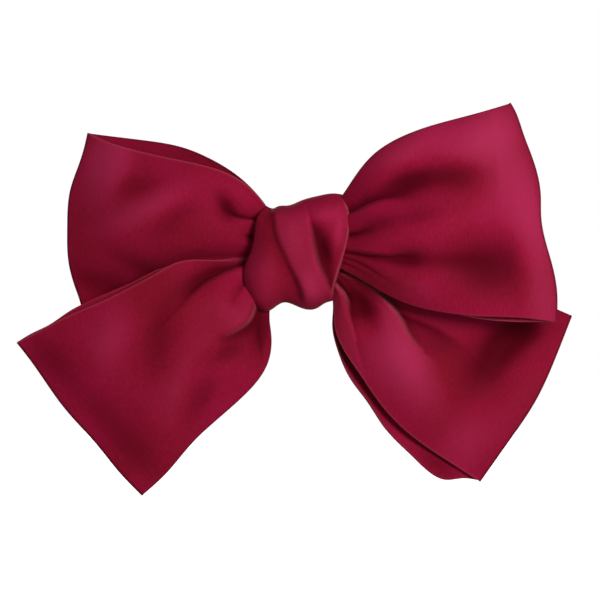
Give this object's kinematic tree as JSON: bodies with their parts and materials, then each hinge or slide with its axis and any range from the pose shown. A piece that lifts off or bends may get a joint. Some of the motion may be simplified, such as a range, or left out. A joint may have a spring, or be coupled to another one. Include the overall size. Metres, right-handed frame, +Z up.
{
  "type": "hair bow",
  "caption": "Large satin hair bow with crossed folded ribbons and a wrapped knot, sewn to a sprung steel French barrette that opens on a hinge.",
  "frame": {"origin": "middle of the hair gap, between the tension bar and the clasp arm, behind the knot", "axes": "+X along the barrette towards its catch, +Y away from the bow towards the head, +Z up as worn; the bow's front faces -Y"},
  "size_m": [0.2008, 0.0474, 0.1412],
  "materials": {
    "satin": "satin",
    "thread": "matte",
    "felt": "matte",
    "nickel_plate": "polished",
    "spring_steel": "brushed"
  },
  "bodies": {
    "bow": {"front_band": "satin", "back_band": "satin", "knot_band": "satin", "gathering_thread": "thread", "knot_closing_stitches": "thread", "felt_backing": "felt", "left_bar_stitches": "thread", "right_bar_stitches": "thread", "base_bar": "nickel_plate", "hinge_pin": "nickel_plate", "catch_plate": "spring_steel", "catch_rivet": "nickel_plate"},
    "clasp_arm": {"clasp_arm": "nickel_plate"},
    "tension_bar": {"tension_bar": "spring_steel"},
    "upper_prong": {"upper_catch_prong": "spring_steel"},
    "lower_prong": {"lower_catch_prong": "spring_steel"}
  },
  "joints": [
    {"name": "arm_hinge", "type": "hinge", "parent": "bow", "child": "clasp_arm", "pos_m": [-0.037, 0.00185, 0], "axis": [0, 0, 1], "range_deg": [0, 100]},
    {"name": "tension_bar_swing", "type": "hinge", "parent": "bow", "child": "tension_bar", "pos_m": [-0.037, 0.00185, 0], "axis": [0, 0, 1], "range_deg": [0, 35]},
    {"name": "upper_prong_squeeze", "type": "hinge", "parent": "bow", "child": "upper_prong", "pos_m": [0.0358, -0.0022, 0.0026], "axis": [-1, 0, 0], "range_deg": [0, 9], "stiffness_Nm_per_rad": 0.15},
    {"name": "lower_prong_squeeze", "type": "hinge", "parent": "bow", "child": "lower_prong", "pos_m": [0.0358, -0.0022, -0.0026], "axis": [1, 0, 0], "range_deg": [0, 9], "stiffness_Nm_per_rad": 0.15}
  ],
  "couplings": [
    {"joint": "tension_bar_swing", "follows": "arm_hinge", "ratio": 0.35}
  ]
}
